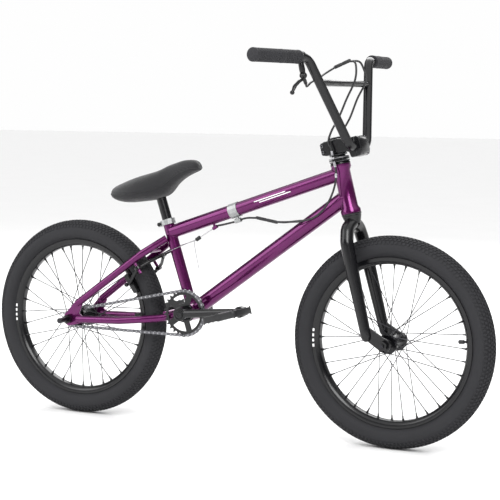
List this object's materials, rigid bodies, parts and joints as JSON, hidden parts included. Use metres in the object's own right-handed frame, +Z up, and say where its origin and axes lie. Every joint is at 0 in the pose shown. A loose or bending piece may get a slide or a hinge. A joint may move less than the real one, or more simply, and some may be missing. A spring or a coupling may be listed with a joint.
{
  "type": "freestyle bicycle",
  "caption": "Freestyle bicycle with a purple frame, black fork and high-rise bars, rear rim brake, cable detangler, platform pedals, spoked wheels and knobbly tyres.",
  "frame": {"origin": "on the ground, midway between the axles, in the bicycle's centre plane", "axes": "+X forward, +Y to the rider's left, +Z up"},
  "size_m": [1.398, 0.7714, 0.9429],
  "materials": {
    "frame_paint": "gloss translucent purple",
    "black_paint": "gloss black",
    "black_plastic": "satin black",
    "grip_rubber": "matte dark grey",
    "tyre_rubber": "matte dark grey",
    "steel": "satin",
    "dark_steel": "dark satin",
    "grey_metal": "satin grey",
    "seat_fabric": "matte cover over foam"
  },
  "bodies": {
    "frame": {"frame": "frame_paint", "bottom_bracket_bearing_right": "steel", "bottom_bracket_bearing_left": "steel", "headset_bearing_upper": "black_paint", "headset_bearing_lower": "black_paint", "detangler_lower_plate": "steel", "lower_brake_cable": "black_plastic", "top_tube_cable_clamp": "grey_metal", "chain": "dark_steel", "rear_axle": "steel", "rear_axle_nut_right": "black_paint", "rear_axle_nut_left": "black_paint", "seat_clamp": "grey_metal", "seat_clamp_bolt": "black_paint"},
    "steering": {"fork": "black_paint", "headset_spacer": "black_paint", "detangler_upper_plate": "steel", "stem": "black_paint", "stem_clamp_plate": "black_paint", "compression_bolt": "black_paint", "handlebar": "black_paint", "grip_right": "grip_rubber", "grip_left": "grip_rubber", "brake_lever_bracket": "black_paint", "upper_brake_cable": "black_plastic", "front_axle": "steel", "front_axle_nut_right": "black_paint", "front_axle_nut_left": "black_paint"},
    "front_wheel": {"front_tyre": "tyre_rubber", "front_rim": "black_paint", "front_hub": "black_paint", "front_spokes_right": "dark_steel", "front_spokes_left": "dark_steel"},
    "rear_wheel": {"rear_tyre": "tyre_rubber", "rear_rim": "black_paint", "rear_hub": "black_paint", "rear_spokes_right": "dark_steel", "rear_spokes_left": "dark_steel"},
    "driver": {"driver_cog": "dark_steel"},
    "cranks": {"crank_spindle": "black_paint", "sprocket": "black_paint", "crank_arm_right": "black_paint", "crank_arm_left": "black_paint", "pedal_axle_right": "steel", "pedal_axle_left": "steel"},
    "pedal_right": {"pedal_right": "black_plastic"},
    "pedal_left": {"pedal_left": "black_plastic"},
    "brake_lever": {"brake_lever": "black_paint"},
    "brake_arm_right": {"brake_arm_right": "black_paint", "brake_pad_right": "black_plastic"},
    "brake_arm_left": {"brake_arm_left": "black_paint", "brake_pad_left": "black_plastic"},
    "detangler_upper_ring": {"detangler_upper_ring": "steel"},
    "detangler_lower_ring": {"detangler_lower_ring": "black_paint"},
    "straddle": {"straddle_wire": "steel", "straddle_hanger": "black_paint"},
    "seat_post": {"seat_post": "black_paint"},
    "seat": {"seat": "seat_fabric"}
  },
  "joints": [
    {"name": "steering", "type": "hinge", "parent": "frame", "child": "steering", "pos_m": [0.30135, 0, 0.67591], "axis": [-0.2504, 0, 0.9681], "continuous": true},
    {"name": "front_wheel_spin", "type": "hinge", "parent": "steering", "child": "front_wheel", "pos_m": [0.443, 0, 0.256], "axis": [0, 1, 0], "continuous": true},
    {"name": "rear_wheel_spin", "type": "hinge", "parent": "frame", "child": "rear_wheel", "pos_m": [-0.443, 0, 0.256], "axis": [0, 1, 0], "continuous": true},
    {"name": "crank_spin", "type": "hinge", "parent": "frame", "child": "cranks", "pos_m": [-0.10401, 0, 0.293], "axis": [0, 1, 0], "continuous": true},
    {"name": "driver_spin", "type": "hinge", "parent": "frame", "child": "driver", "pos_m": [-0.443, 0, 0.256], "axis": [0, 1, 0], "continuous": true},
    {"name": "pedal_right_spin", "type": "hinge", "parent": "cranks", "child": "pedal_right", "pos_m": [0.07003, -0.14, 0.31129], "axis": [0, 1, 0], "continuous": true},
    {"name": "pedal_left_spin", "type": "hinge", "parent": "cranks", "child": "pedal_left", "pos_m": [-0.27805, 0.14, 0.27471], "axis": [0, 1, 0], "continuous": true},
    {"name": "brake_lever_pull", "type": "hinge", "parent": "steering", "child": "brake_lever", "pos_m": [0.29596, -0.2, 0.88464], "axis": [-0.9844, 0.1752, 0.0149], "range_deg": [0, 20], "stiffness_Nm_per_rad": 0.05},
    {"name": "brake_arm_right_swing", "type": "hinge", "parent": "frame", "child": "brake_arm_right", "pos_m": [-0.24107, -0.046, 0.3992], "axis": [0.5948, 0, -0.8039], "range_deg": [0, 2.2]},
    {"name": "brake_arm_left_swing", "type": "hinge", "parent": "frame", "child": "brake_arm_left", "pos_m": [-0.23483, 0.046, 0.39076], "axis": [-0.5948, 0, 0.8039], "range_deg": [0, 2.2]},
    {"name": "detangler_upper_lift", "type": "slide", "parent": "steering", "child": "detangler_upper_ring", "axis": [-0.2504, 0, 0.9681], "range_m": [0, 0.004]},
    {"name": "detangler_lower_lift", "type": "slide", "parent": "frame", "child": "detangler_lower_ring", "axis": [-0.2504, 0, 0.9681], "range_m": [0, 0.004]},
    {"name": "straddle_lift", "type": "slide", "parent": "frame", "child": "straddle", "axis": [0.8495, 0, 0.5275], "range_m": [0, 0.004]},
    {"name": "seat_height", "type": "slide", "parent": "frame", "child": "seat_post", "axis": [-0.3173, 0, 0.9483], "range_m": [-0.03, 0.05]},
    {"name": "seat_tilt", "type": "hinge", "parent": "seat_post", "child": "seat", "pos_m": [-0.20682, 0, 0.60026], "axis": [0, 1, 0], "range_deg": [-10, 10]}
  ],
  "couplings": [
    {"joint": "driver_spin", "follows": "crank_spin", "ratio": 2.8},
    {"joint": "brake_arm_right_swing", "follows": "brake_lever_pull", "ratio": 0.11},
    {"joint": "brake_arm_left_swing", "follows": "brake_lever_pull", "ratio": 0.11},
    {"joint": "detangler_upper_lift", "follows": "brake_lever_pull", "m_per_rad": 0.011459},
    {"joint": "detangler_lower_lift", "follows": "brake_lever_pull", "m_per_rad": 0.011459},
    {"joint": "straddle_lift", "follows": "brake_lever_pull", "m_per_rad": 0.011459}
  ]
}
